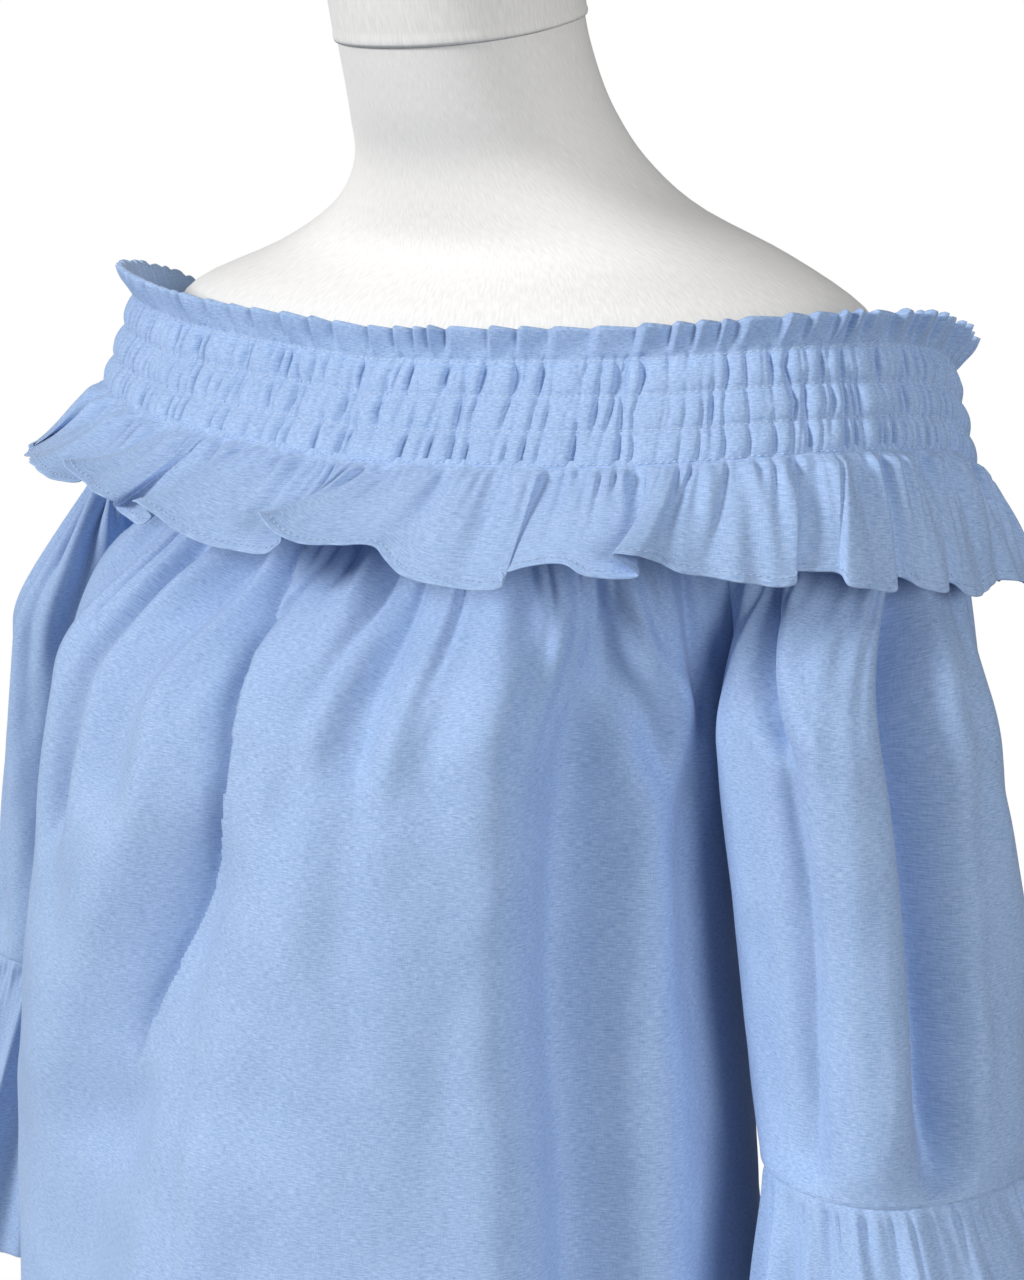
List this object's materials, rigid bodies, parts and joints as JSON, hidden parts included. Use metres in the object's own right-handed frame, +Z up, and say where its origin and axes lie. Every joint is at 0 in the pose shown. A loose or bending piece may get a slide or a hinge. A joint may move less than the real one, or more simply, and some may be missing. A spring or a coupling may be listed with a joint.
{
  "type": "off-shoulder top on dress form",
  "caption": "Off-shoulder blouse with an elastic shirred neckband, a gathered neck flounce and flounced long sleeves, hanging on a limbless dress form.",
  "frame": {"origin": "middle of the dress form's flat underside", "axes": "+Z up, -Y the front, +X the wearer's left"},
  "size_m": [0.7397, 0.3326, 0.772],
  "materials": {
    "chambray": "matt",
    "jersey": "matt"
  },
  "bodies": {
    "root": {"form_torso": "jersey", "neck_cap": "jersey", "neck_band": "chambray", "neck_flounce": "chambray", "front_panel": "chambray", "back_panel": "chambray", "sleeve_left": "chambray", "sleeve_right": "chambray", "sleeve_flounce_left": "chambray", "sleeve_flounce_right": "chambray"}
  },
  "joints": []
}
